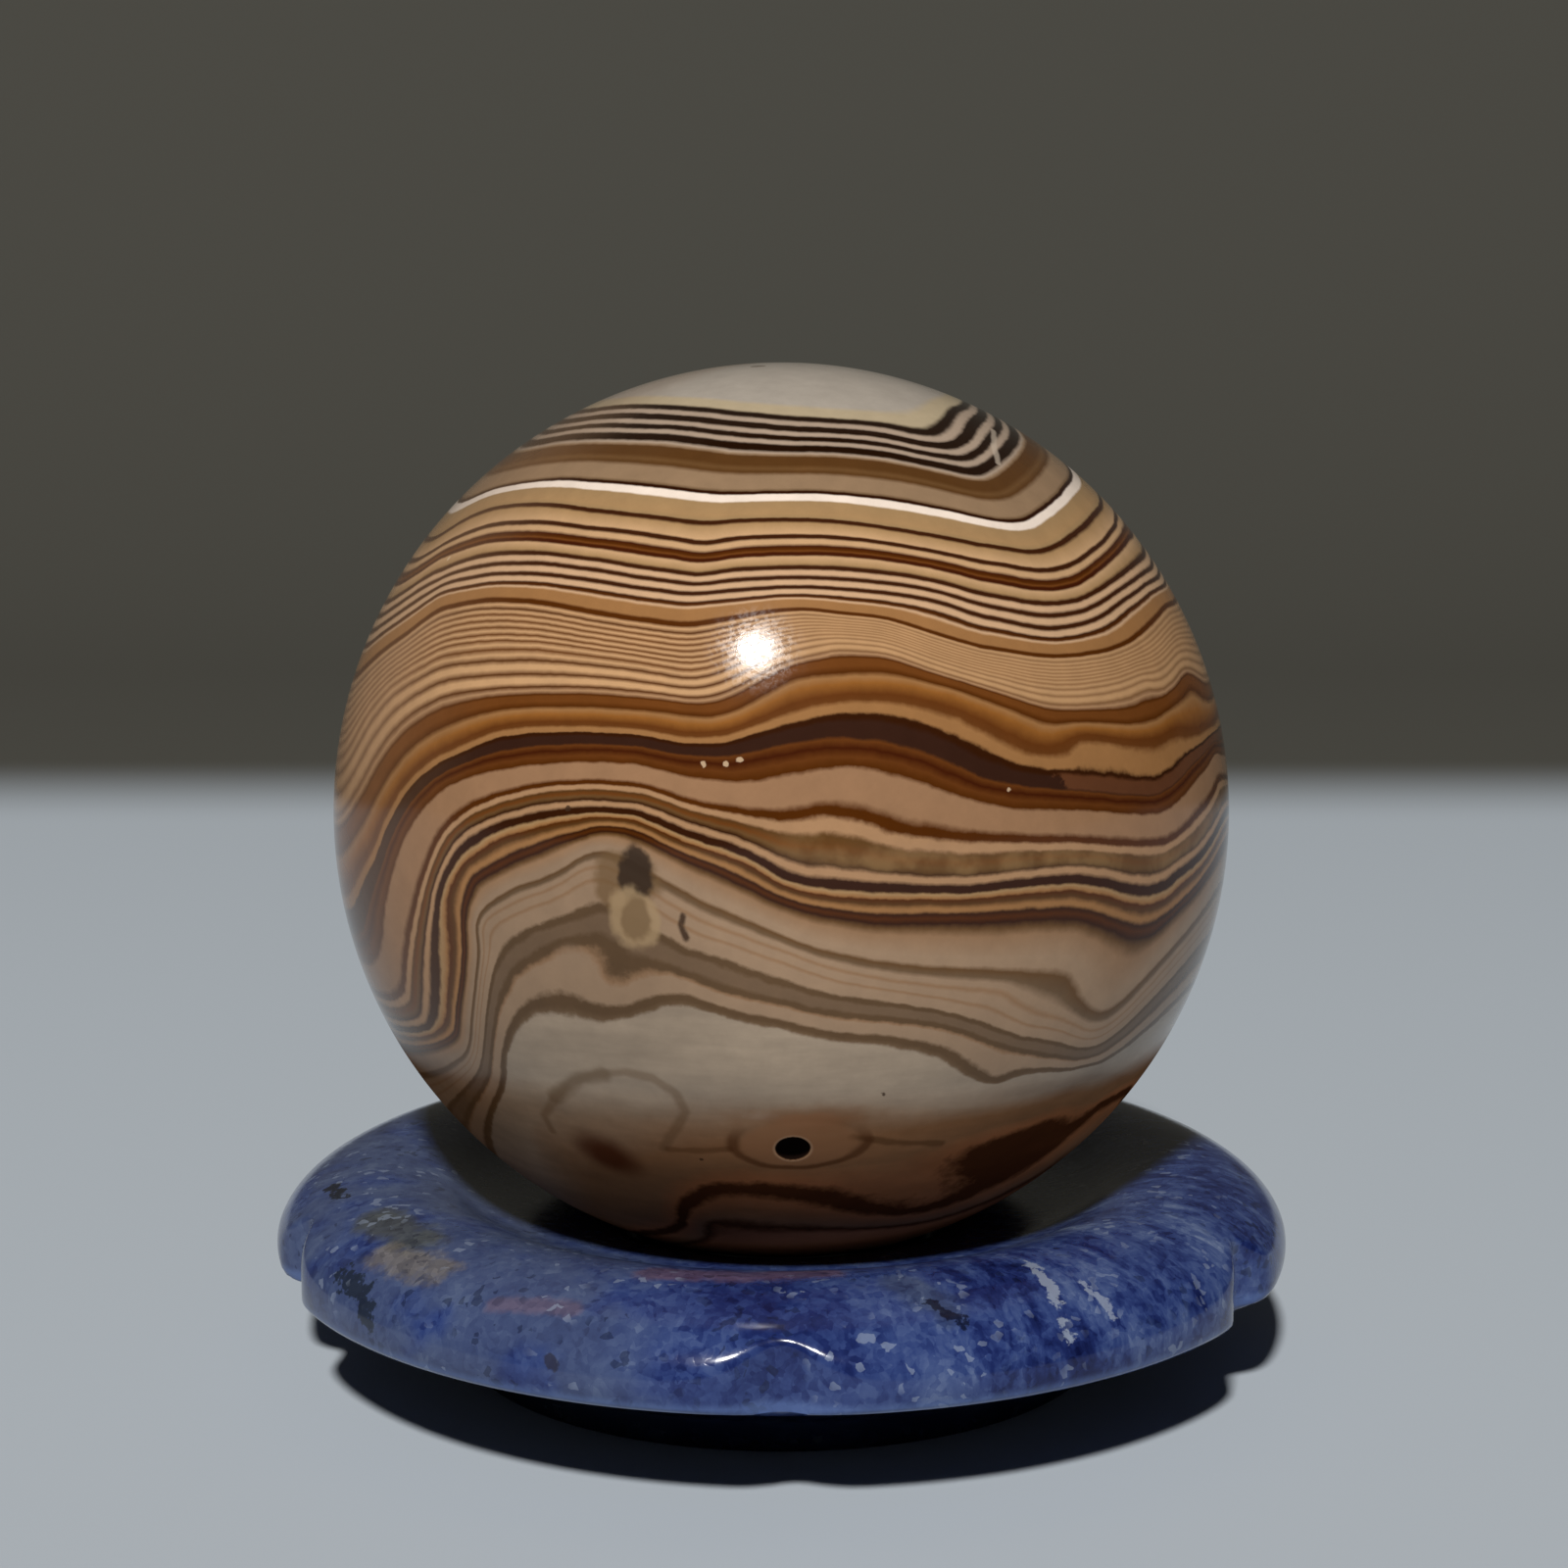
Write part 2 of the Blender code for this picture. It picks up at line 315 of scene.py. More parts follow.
# Each line of the banding: its level, then points along it in the photo's pixels, read one by one.
bandLines = [
    (415, [(610, 418), (650, 415), (700, 417), (750, 422), (800, 427), (850, 430), (900, 434), (935, 441),
           (952, 443), (966, 432), (976, 418)]),
    (444, [(556, 450), (600, 445), (650, 445), (700, 448), (750, 455), (800, 457), (850, 458), (900, 463),
           (950, 473), (994, 482), (1009, 473), (1025, 461), (1034, 448)]),
    (498, [(482, 511), (500, 503), (525, 497), (550, 494), (580, 493), (600, 495), (650, 499), (700, 505),
           (735, 509), (800, 507), (850, 508), (900, 513), (950, 521), (1000, 532), (1030, 537), (1050, 535),
           (1069, 523), (1084, 510), (1096, 495)]),
    (525, [(450, 546), (469, 533), (500, 519), (525, 515), (550, 514), (600, 520), (650, 526), (700, 532),
           (719, 534), (750, 531), (800, 530), (850, 532), (900, 538), (950, 546), (1000, 556), (1050, 563),
           (1069, 560), (1084, 553), (1100, 541), (1123, 517)]),
    (543, [(450, 557), (475, 545), (500, 536), (550, 533), (600, 538), (650, 544), (700, 552), (720, 555),
           (750, 549), (800, 547), (850, 548), (900, 553), (950, 562), (1000, 573), (1050, 581), (1075, 581),
           (1100, 573), (1125, 555), (1139, 537)]),
    (563, [(450, 568), (500, 552), (550, 551), (600, 557), (650, 564), (700, 571), (720, 573), (750, 568),
           (800, 565), (850, 566), (900, 570), (950, 578), (1000, 591), (1050, 601), (1075, 602), (1100, 596),
           (1125, 577), (1151, 547)]),
    (577, [(450, 582), (475, 572), (500, 566), (550, 564), (600, 570), (650, 578), (700, 585), (715, 587),
           (750, 581), (800, 579), (850, 580), (900, 584), (950, 592), (1000, 606), (1050, 615), (1075, 616),
           (1100, 612), (1125, 601), (1150, 583), (1168, 567)]),
    (609, [(450, 604), (475, 599), (500, 595), (550, 595), (600, 602), (650, 610), (700, 616), (750, 612),
           (800, 607), (850, 608), (900, 613), (950, 622), (1000, 639), (1050, 649), (1075, 652), (1100, 649),
           (1125, 641), (1150, 623), (1175, 603)]),
    (629, [(413, 648), (428, 636), (450, 621), (475, 615), (500, 612), (550, 614), (600, 624), (650, 632),
           (700, 638)]),
    (629, [(850, 626), (900, 631), (950, 646), (1000, 661), (1050, 668), (1075, 670), (1100, 669),
           (1130, 664), (1150, 657), (1170, 641), (1190, 617)]),
    (674, [(360, 756), (378, 725), (400, 699), (425, 684), (450, 670), (500, 663), (550, 663), (600, 669),
           (650, 675), (700, 684)]),
    (703, [(450, 713), (500, 704), (550, 702), (600, 702), (650, 706), (700, 713)]),
    (702, [(850, 661), (872, 663), (900, 664), (922, 671), (950, 682), (978, 691), (1000, 697), (1030, 706),
           (1050, 713), (1078, 718), (1100, 717), (1128, 715), (1150, 711), (1170, 700)]),
    (721, [(650, 723), (700, 728), (725, 731), (750, 724)]),
    (716, [(802, 688), (825, 683), (850, 681), (878, 680), (900, 681), (931, 687), (950, 692), (978, 699),
           (1000, 707), (1030, 717), (1050, 724), (1069, 732), (1100, 735), (1150, 735), (1169, 731),
           (1184, 725), (1202, 708), (1213, 693)]),
    (742, [(1100, 749), (1150, 757), (1181, 758), (1200, 746)]),
    (750, [(369, 905), (384, 875), (394, 846), (413, 811), (428, 794), (450, 778), (472, 768), (500, 755),
           (516, 751), (550, 748), (600, 748), (650, 751), (678, 757), (700, 761), (734, 761), (750, 755),
           (775, 747), (800, 741), (825, 734), (850, 728), (900, 727), (922, 732), (950, 741), (978, 752),
           (1000, 765), (1030, 778), (1050, 783), (1085, 788), (1105, 789), (1150, 793), (1181, 794),
           (1200, 781), (1213, 767), (1243, 743)]),
    (763, [(500, 768), (550, 759), (600, 757), (650, 758), (700, 767), (750, 769), (800, 759), (850, 752),
           (900, 755), (950, 769), (1000, 793), (1050, 803), (1085, 806)]),
    (780, [(392, 930), (400, 890), (410, 860), (425, 832), (450, 806), (475, 793), (500, 787), (550, 781),
           (600, 779), (650, 781), (700, 794), (750, 799), (800, 792), (825, 787), (865, 782), (900, 787),
           (925, 794), (950, 803), (1000, 818), (1030, 825), (1100, 826), (1150, 830), (1180, 831),
           (1200, 819), (1220, 796), (1240, 766)]),
    (801, [(412, 1000), (450, 850), (475, 828), (500, 814), (550, 801), (600, 797), (640, 799), (675, 807),
           (700, 818), (750, 827), (800, 832), (850, 827), (880, 832), (900, 840), (915, 846), (950, 850),
           (1000, 855), (1100, 857), (1150, 861), (1190, 859), (1200, 852), (1225, 828), (1240, 805)]),
    (823, [(432, 1040), (435, 1000), (441, 919), (450, 888), (463, 863), (475, 850), (500, 838), (516, 831),
           (550, 824), (600, 819), (634, 821), (650, 823), (678, 831), (700, 842), (750, 857), (775, 868),
           (800, 883), (819, 888), (850, 890), (900, 896), (966, 900), (1000, 898), (1050, 891), (1084, 887),
           (1100, 886), (1128, 890), (1150, 896), (1172, 898), (1190, 891), (1200, 881)]),
    (835, [(449, 1040), (452, 1000), (450, 919), (457, 899), (472, 875), (500, 856), (516, 846), (550, 838),
           (600, 831), (650, 834), (678, 847), (700, 857), (750, 872), (775, 884), (800, 900), (819, 906),
           (850, 911), (900, 914), (950, 914), (1000, 912), (1050, 906), (1100, 904), (1128, 909),
           (1150, 916), (1169, 919), (1184, 914), (1200, 902)]),
    (861, [(470, 1060), (477, 1000), (487, 905), (505, 896), (528, 883), (550, 875), (575, 863), (600, 858)]),
    (861, [(800, 927), (823, 935), (850, 940), (900, 948), (950, 948), (1000, 948), (1050, 945),
           (1100, 945), (1123, 953), (1143, 963), (1157, 967), (1173, 962), (1200, 937), (1217, 920)]),
    (890, [(487, 934), (505, 919), (528, 905), (550, 899), (575, 890), (593, 875), (605, 866)]),
    (890, [(800, 960), (833, 970), (883, 980), (933, 987), (990, 991), (1050, 993), (1090, 997)]),
    (910, [(487, 946), (505, 931), (528, 919), (550, 911), (575, 899), (593, 887)]),
    (910, [(800, 968), (823, 980), (857, 990), (890, 998), (923, 1003), (977, 1008), (1023, 1012)]),
    (945, [(495, 1053), (500, 1003), (508, 980), (523, 963), (540, 950), (567, 940), (587, 935), (600, 928)]),
    (945, [(700, 970), (730, 977), (750, 983), (780, 997), (800, 1003), (850, 1017), (900, 1023),
           (950, 1032), (1000, 1045), (1050, 1063)]),
    (984, [(520, 1013), (523, 1000), (537, 987), (553, 980), (567, 970), (580, 965), (607, 963), (613, 973),
           (617, 993), (627, 1006), (640, 1002), (650, 993), (667, 990), (700, 997), (717, 1007),
           (750, 1017), (780, 1023), (800, 1027), (850, 1038), (900, 1043), (950, 1046), (977, 1053),
           (1000, 1062), (1050, 1075), (1073, 1080), (1100, 1083), (1123, 1077), (1150, 1057)]),
    (1021, [(513, 1107), (513, 1087), (515, 1070), (520, 1053), (527, 1040), (540, 1028), (550, 1025),
            (580, 1024), (600, 1030), (620, 1033), (650, 1028), (670, 1020), (700, 1018), (727, 1027),
            (750, 1035), (800, 1044), (823, 1052), (850, 1057), (900, 1060), (937, 1067), (957, 1072),
            (977, 1083), (1000, 1100), (1017, 1105)]),
    (1120, [(545, 1150), (700, 1135), (850, 1130), (1000, 1130), (1100, 1105)]),
    (1200, [(697, 1250), (697, 1235), (703, 1227), (717, 1217), (733, 1212), (780, 1213), (823, 1218),
            (850, 1222), (863, 1228), (890, 1233), (923, 1237), (950, 1232), (977, 1222), (1000, 1210),
            (1023, 1198), (1050, 1183), (1073, 1167), (1100, 1147), (1123, 1127), (1150, 1112)]),
    (1245, [(720, 1250), (823, 1255), (900, 1253)]),
]

# The far side isn't known: there the bands go on as uneven rings, at these angles down from the top.
hiddenRings = {
    "turns": (112, 135, 158, 180, 202, 225, 248),
    "down": (12, 24, 31, 37, 44, 51, 58, 66, 75, 84, 92, 100, 110, 122, 136, 150, 165),
    "level": (368, 405, 440, 480, 520, 560, 598, 640, 690, 735, 765, 800, 835, 890, 950, 1030, 1120),
    "topLevel": 330,
    "bottomLevel": 1290,
}


def onBall(longitude, latitude):
    east, north = math.radians(longitude), math.radians(latitude)
    return np.array((math.cos(north) * math.sin(east), -math.cos(north) * math.cos(east), math.sin(north)))


def fromPhoto(across, down):
    # The direction from the ball's middle to what the photo shows at these pixels.
    rise = math.radians(view["rise"])
    eye = np.array((0, -math.cos(rise), math.sin(rise))) * view["distance"]
    aim = np.array((view["right"], 0, 0)) + np.array((0, math.sin(rise), math.cos(rise))) * view["up"]
    forward = (aim - eye) / np.linalg.norm(aim - eye)
    side = np.cross(forward, (0, 0, 1))
    side /= np.linalg.norm(side)
    pixel = view["sensor"] / view["lens"] / view["frame"]
    ray = forward + side * (across - view["frame"] / 2) * pixel
    ray += np.cross(side, forward) * (view["frame"] / 2 - down) * pixel
    ray /= np.linalg.norm(ray)
    along = -eye @ ray
    place = eye + ray * (along - math.sqrt(max(along**2 - eye @ eye + ballRadius**2, 0)))
    return place / np.linalg.norm(place)


def alongLine(line):
    places = [fromPhoto(*place) for place in line]
    found = [places[0]]
    for start, end in zip(places, places[1:]):
        steps = math.ceil(math.degrees(np.linalg.norm(end - start)) / ball["reading"])
        for step in range(1, steps + 1):
            place = start + (end - start) * step / steps
            found.append(place / np.linalg.norm(place))
    return found


def hiddenPlaces():
    found = [(hiddenRings["topLevel"], onBall(0, 90)), (hiddenRings["bottomLevel"], onBall(0, -90))]
    for turn in hiddenRings["turns"]:
        east = math.radians(turn)
        for down, level in zip(hiddenRings["down"], hiddenRings["level"]):
            stretch = 1 + 0.10 * math.sin(2 * east + 0.6)
            stretch += 0.05 * math.sin(3 * east + 1.0) * math.sin(math.radians(down))
            found.append((level, onBall(turn, 90 - min(down * stretch, 176))))
    return found


def plate(first, second):
    square = np.maximum((first ** 2).sum(1)[:, None] + (second ** 2).sum(1) - 2 * first @ second.T, 1e-18)
    return 0.5 * square * np.log(square)   # r squared times log r between every two points


def bandField(directions):
    # The level at each direction: a thin plate laid through the lines.
    known = [(level, place) for level, line in bandLines for place in alongLine(line)] + hiddenPlaces()
    values = np.array([level for level, place in known], float)
    places = np.array([place for level, place in known])
    size = len(places)
    flat = np.hstack([np.ones((size, 1)), places])
    system = np.zeros((size + 4, size + 4))
    system[:size, :size] = plate(places, places) + ball["smooth"] * np.eye(size)
    system[:size, size:] = flat
    system[size:, :size] = flat.T
    weights = np.linalg.solve(system, np.concatenate([values, np.zeros(4)]))
    found = np.empty(len(directions))
    for start in range(0, len(directions), 8000):
        part = directions[start:start + 8000]
        found[start:start + 8000] = plate(part, places) @ weights[:size] + weights[size]
        found[start:start + 8000] += part @ weights[size + 1:]
    return found


def makeBall():
    deselect()
    bpy.ops.mesh.primitive_cube_add(size=ballRadius, location=ballCentre)
    made = active()
    made.name = "agate_ball"
    editing(bpy.ops.mesh.subdivide, number_cuts=ball["firstCuts"])
    applied(made, "CAST", cast_type="SPHERE", factor=1.0, radius=0.0, size=ballRadius)
    for _ in range(ball["halvings"]):
        applied(made, "SUBSURF", subdivision_type="SIMPLE", levels=1, render_levels=1)
        applied(made, "CAST", cast_type="SPHERE", factor=1.0, radius=0.0, size=ballRadius)
    bpy.ops.object.transform_apply(location=True, rotation=True, scale=True)
    mesh = made.data
    centre = np.array(ballCentre)
    pit = np.array(Vector(ball["pitDirection"]).normalized()) * ballRadius
    directions = points(mesh) - centre
    directions /= np.linalg.norm(directions, axis=1)[:, None]
    putPoints(mesh, centre + directions * ballRadius)
    away = np.min([onBallAway(directions, line) for line in thinLines.values()], axis=0)
    selectPoints(mesh, away < ball["lineReach"])
    editing(bpy.ops.mesh.subdivide, number_cuts=ball["lineCuts"])
    near = np.linalg.norm(points(mesh) - centre - pit, axis=1) < 1.7 * ball["pitRadius"]
    selectPoints(mesh, near)
    editing(bpy.ops.mesh.subdivide, number_cuts=ball["pitCuts"])
    where = points(mesh) - centre
    where *= (ballRadius / np.linalg.norm(where, axis=1))[:, None]
    away = np.linalg.norm(where - pit, axis=1) / ball["pitRadius"]
    bowl = np.clip(1 - away ** 2, 0, 1) ** ball["pitRound"]
    where *= (1 - bowl * ball["pitDepth"] / ballRadius)[:, None]
    putPoints(mesh, where + centre)
    directions = where / np.linalg.norm(where, axis=1)[:, None]
    print("points of the ball:", len(directions))
    carry(mesh, "level", bandField(directions))
    for name, values in ballMarkings(directions).items():
        carry(mesh, name, values)
    bpy.ops.object.shade_smooth()
    return made


# Angles in degrees from +X towards the back, lengths in metres.
stand = {
    "rim": 0.03442, "rimHeight": 0.0082, "halfWidth": 0.0072, "halfHeight": 0.00455,
    "lowerEdge": -21,       # degrees: where the rim's round ends and the underside turns in
    "edgeInset": 0.0008, "edgeHeight": 0.00675,
    "foot": 0.0220, "flare": 0.0034, "flareHeight": 0.0037, "chamfer": 0.0006, "chamferHeight": 0.0018,
    "seat": 0.0130, "seatHeight": 0.0095, "well": 0.0095, "wellHeight": 0.0044,
    "wellInset": 0.0018, "mouthInset": 0.0009, "fillet": 0.0012,
    "dishEdge": 120, "dishSteps": 12, "beadSteps": 88, "sides": 480,
    # Each notch is an upright flute: its angle, its depth, and its half width clockwise and anticlockwise.
    "notches": [(15, 0.0017, 0.0034, 0.0034), (111, 0.0022, 0.0022, 0.0022), (198, 0.0024, 0.0017, 0.0030),
                (270, 0.0019, 0.0027, 0.0027), (333, 0.0024, 0.0030, 0.0017)],
    "fluteEdge": 0.0004,    # how softly a flute's upright wall runs into the bead
}


def beadPoint(degrees):
    across = stand["halfWidth"] * math.cos(math.radians(degrees))
    upward = stand["halfHeight"] * math.sin(math.radians(degrees))
    length = math.hypot(across, upward)
    crest = stand["rim"] - stand["halfWidth"]
    return (crest + stand["halfWidth"] * across / length,
            stand["rimHeight"] + stand["halfHeight"] * upward / length)


def standProfile():
    # Radius and height from the well's floor, over the dish and the bead, to the foot.
    seat, seatHeight = stand["seat"], stand["seatHeight"]
    line = [(stand["well"], stand["wellHeight"]),
            (seat - stand["wellInset"], stand["wellHeight"] + stand["fillet"]),
            (seat - stand["mouthInset"], seatHeight - stand["fillet"]),
            (seat - stand["mouthInset"] / 3, seatHeight - stand["fillet"] / 4)]
    edge, edgeHeight = beadPoint(stand["dishEdge"])
    run, rise = edge - seat, edgeHeight - seatHeight
    slope = math.tan(math.radians(stand["dishEdge"] - 90)) * run
    for step in range(stand["dishSteps"]):
        t = step / stand["dishSteps"]
        height = (3 * t**2 - 2 * t**3) * rise + (t - 2 * t**2 + t**3) * 0.25 * run + (t**3 - t**2) * slope
        line.append((seat + t * run, seatHeight + height))
    share = (stand["dishEdge"] - stand["lowerEdge"]) / stand["beadSteps"]
    line += [beadPoint(stand["dishEdge"] - step * share) for step in range(stand["beadSteps"] + 1)]
    lower, lowerHeight = line[-1]
    turned, turnedHeight = stand["rim"] - stand["edgeInset"], stand["edgeHeight"]
    line.append(((lower * 2 + turned) / 3 - 0.00002, (lowerHeight + turnedHeight * 2) / 3))
    line.append((turned, turnedHeight))
    flare, foot = stand["foot"] + stand["flare"], stand["foot"]
    for step in range(1, 7):
        t = step / 6
        line.append((turned + (flare - turned) * t, turnedHeight + (stand["flareHeight"] - turnedHeight) * t))
    line.append((foot + stand["flare"] * 0.42, stand["flareHeight"] * 0.70))
    line.append((foot + stand["chamfer"], stand["chamferHeight"]))
    line.append((foot + stand["chamfer"] / 3, stand["chamferHeight"] / 2))
    return line + [(foot, 0.0)]


def lobedOutline(angle):
    # The rim's radius at each angle.
    deepest = np.zeros(len(angle))
    for degrees, depth, clockwise, anticlockwise in stand["notches"]:
        away = ((angle - math.radians(degrees) + math.pi) % math.tau - math.pi) * stand["rim"]
        halfWidth = np.where(away < 0, clockwise, anticlockwise)
        deepest = np.maximum(deepest, depth / (1 + (away / halfWidth) ** 2))
    return stand["rim"] + stand["fluteEdge"] - deepest


def makeStand():
    deselect()
    line = standProfile()
    bpy.ops.mesh.primitive_circle_add(vertices=stand["sides"], radius=line[0][0], fill_type="NGON",
                                      location=(0, 0, 0))
    made = active()
    made.name = "blue_stand"
    bpy.ops.object.mode_set(mode="EDIT")
    bpy.ops.mesh.select_all(action="SELECT")
    bpy.ops.transform.translate(value=(0, 0, line[0][1]))
    bpy.ops.mesh.region_to_loop()
    for (before, low), (after, high) in zip(line, line[1:]):
        bpy.ops.mesh.extrude_edges_move(TRANSFORM_OT_translate={"value": (0, 0, high - low)})
        bpy.ops.transform.resize(value=(after / before, after / before, 1), center_override=(0, 0, 0))
    bpy.ops.mesh.edge_face_add()
    bpy.ops.mesh.select_all(action="SELECT")
    bpy.ops.mesh.normals_make_consistent(inside=False)
    bpy.ops.object.mode_set(mode="OBJECT")
    mesh = made.data
    where = points(mesh)
    radius = np.hypot(where[:, 0], where[:, 1])
    outline = lobedOutline(np.arctan2(where[:, 1], where[:, 0]))
    edge = stand["fluteEdge"]
    inside = np.clip(0.5 + 0.5 * (outline - radius) / edge, 0, 1)
    cut = outline * (1 - inside) + radius * inside - edge * inside * (1 - inside)
    where[:, :2] *= (cut / np.maximum(radius, stand["well"] / 2))[:, None]
    putPoints(mesh, where)
    for name, values in standMarkings(where * 1000).items():
        carry(mesh, name, values)
    deselect()
    made.select_set(True)
    bpy.ops.object.shade_smooth_by_angle(angle=math.radians(50))
    return made


# Centres in degrees of longitude and latitude, half widths in mm, turn in degrees.
markings = {
    "eye": {"centre": (2.4, -33.1), "wide": 4.1, "high": 2.25, "turn": 2},
    "patch": {"centre": (3.4, -29.2), "wide": 5.2, "high": 1.25, "turn": 0},
    "oval": {"centre": (-26.4, -37.1), "wide": 2.7, "high": 2.0, "turn": -35},
    "mark": {"centre": (-16.3, 1.1), "wide": 1.2, "high": 1.9, "turn": 0},
    "soot": {"centre": (-17.6, 0.5), "wide": 2.2, "high": 2.1, "turn": 0},
    "tongue": {"centre": (-16.5, -3.8), "wide": 1.35, "high": 1.7, "turn": 8},
    "eyelet": {"centre": (-24.5, -9.1), "wide": 1.7, "high": 1.4, "turn": 10},
    "scuff": {"centre": (-3.4, 26.8), "wide": 3.4, "high": 3.2, "turn": 0},
}
thinLines = {
    "ring": [(-34.5, -34.1), (-34.6, -31.6), (-31.0, -28.1), (-27.8, -25.4), (-24.1, -23.9), (-19.7, -23.1),
             (-16.0, -23.6), (-13.3, -25.6), (-12.4, -28.3), (-13.5, -30.2), (-15.5, -32.8), (-16.8, -34.8)],
    "arch": [(-31.0, -28.1), (-29.2, -26.6), (-26.2, -24.6), (-22.8, -23.8)],   # the ring's thick stretch
    "whisker": [(-16.0, -34.8), (-11.0, -34.6), (-7.1, -34.1)],   # left of the eye
    "spur": [(9.7, -32.2), (15.0, -33.4), (23.1, -34.5)],   # right of the eye
    "crack": [(-10.9, -3.2), (-11.2, -4.4), (-10.6, -5.7)],
    "fracture": [(47.2, 52.2), (51.5, 55.3), (60.5, 58.8)],
}
specks = {
    "white": [(-59.6, 36.3), (-6.3, 13.6), (-4.7, 14.1), (-8.8, 13.6), (26.7, 10.1)],
    "dark": [(13.0, -25.8), (-24.6, 8.0), (-11.6, -36.3)],
    "top": [(-21.7, 82.3)],
}


def marked(directions, centre, wide, high, turn):
    # 0 at the marking's middle, 1 on its outline.
    middle = onBall(*centre)
    east = np.cross((0, 0, 1), middle)
    east /= np.linalg.norm(east)
    north = np.cross(middle, east)
    across = directions @ east * ballRadius * 1000
    upward = directions @ north * ballRadius * 1000
    cosine, sine = math.cos(math.radians(turn)), math.sin(math.radians(turn))
    first = (across * cosine + upward * sine) / wide
    second = (upward * cosine - across * sine) / high
    return np.where(directions @ middle > 0, np.hypot(first, second), 9.0)


def lineAway(where, places):
    # Distance from a line through the places.
    found = np.full(len(where), 9.0)
    for start, end in zip(places, places[1:]):
        along = end - start
        share = np.clip((where - start) @ along / (along @ along), 0, 1)
        found = np.minimum(found, np.linalg.norm(where - start - share[:, None] * along, axis=1))
    return found


def onBallAway(directions, line):
    reach = ballRadius * 1000
    return lineAway(directions * reach, [onBall(*place) * reach for place in line])


def ballMarkings(directions):
    found = {name: marked(directions, **shape) for name, shape in markings.items()}
    for name, line in thinLines.items():
        found[name] = onBallAway(directions, line)
    east = np.degrees(np.arctan2(directions[:, 0], -directions[:, 1]))
    found["east"] = np.where(np.abs(east) > 90, np.sign(east) * 180 - east, east)   # no seam at the back
    return found


agateTones = {
    "cap": tone(174, 164, 152), "rim": tone(186, 168, 138), "black": tone(34, 16, 5),
    "pink": tone(178, 156, 136), "brown": tone(90, 58, 28), "umber": tone(108, 76, 44),
    "grey": tone(150, 122, 94), "white": tone(246, 228, 212), "tan": tone(164, 132, 92),
    "dark": tone(46, 18, 4), "ochre": tone(172, 136, 94), "light": tone(202, 162, 120),
    "red": tone(66, 26, 8), "pale": tone(208, 169, 132), "amber": tone(160, 114, 70),
    "deep": tone(84, 42, 9), "fine": tone(104, 60, 26), "soft": tone(204, 160, 116),
    "rust": tone(112, 64, 26), "orange": tone(148, 94, 42), "purple": tone(56, 32, 22),
    "ember": tone(102, 56, 22), "blush": tone(160, 121, 89), "shell": tone(178, 137, 100),
    "night": tone(54, 25, 8), "cream": tone(170, 140, 112), "vein": tone(124, 98, 74),
    "shade": tone(118, 92, 66), "basin": tone(176, 156, 134), "clay": tone(158, 122, 90),
    "soil": tone(182, 127, 88), "bark": tone(104, 78, 52), "loam": tone(88, 54, 33),
    "line": tone(62, 30, 12),
}
# Along the column through the mound: where each tone is reached.
agateBands = """
330 cap 400 cap 404 rim 411 rim 413 black 416.5 black 418.5 pink 421 pink 422.7 black 427 black
428.7 pink 431 pink 432.7 black 436 black 437.7 pink 440 pink 441.7 black 447 black 449.5 pink 451.5 grey
453.5 brown 462 brown 466 umber 470 brown 474 grey 488 grey 490.5 shade 491.7 dark 494.2 dark 495.5 white
502 white 504 tan 518 ochre 522 tan 523.6 line 526.6 line 529 ochre 540 light 541.9 line 545 line
547.4 light 551 light 554.3 red 557.4 deep 559.4 rust 561.4 red 563.8 red 566 light 573 ochre 575.6 line
578.5 line 580.8 pale 584 pale 586.7 line 589.4 line 591.8 pale 595.3 pale 597.7 line 600.4 line 602.8 pale
606.2 pale 608.3 line 611 deep 613.2 pale 615.6 amber 625 amber 627.4 deep 631 deep 634 soft 638 deep
641 soft 644 fine 647 soft 650 fine 653 soft 656 fine 659 soft 662 fine 664.7 soft 667 fine 670.5 soft
674 fine 678 soft 682 deep 685.5 soft 688 soft 692 deep 695.5 soft 698.5 soft 702 deep 705.4 shell 709 deep
711 rust 716 rust 721 deep 725 amber 730 orange 738 ember 742 fine 745 amber 749 amber 750.6 night
752.6 night 755 purple 762.5 purple 764.5 ember 769 red 774 ember 779 deep 781.5 blush 796 blush 799.4 deep
802.4 deep 804.4 shell 807.5 shell 809.6 brown 813 rust 816 umber 819.5 night 822 shell 824.6 shell
827.4 night 832.4 night 834.2 ochre 836.8 amber 838.6 deep 842 brown 845.6 amber 847.6 amber
850 night 853.4 deep 857 night 861 umber 866 clay 880 cream 886 cream 890 umber 896 shade 901 cream 905 cream
909 clay 913 cream 920 cream 923 clay 927 cream 940 cream 944 bark 949 bark 954 vein 968 vein 974 bark
981 bark 986 clay 990 cream 1010 cream 1016 bark 1023 bark 1029 shade 1034 basin 1110 basin 1150 clay
1176 clay 1190 soil 1196 loam 1205 loam 1212 soil 1232 clay 1241 loam 1252 soil 1290 soil
""".split()


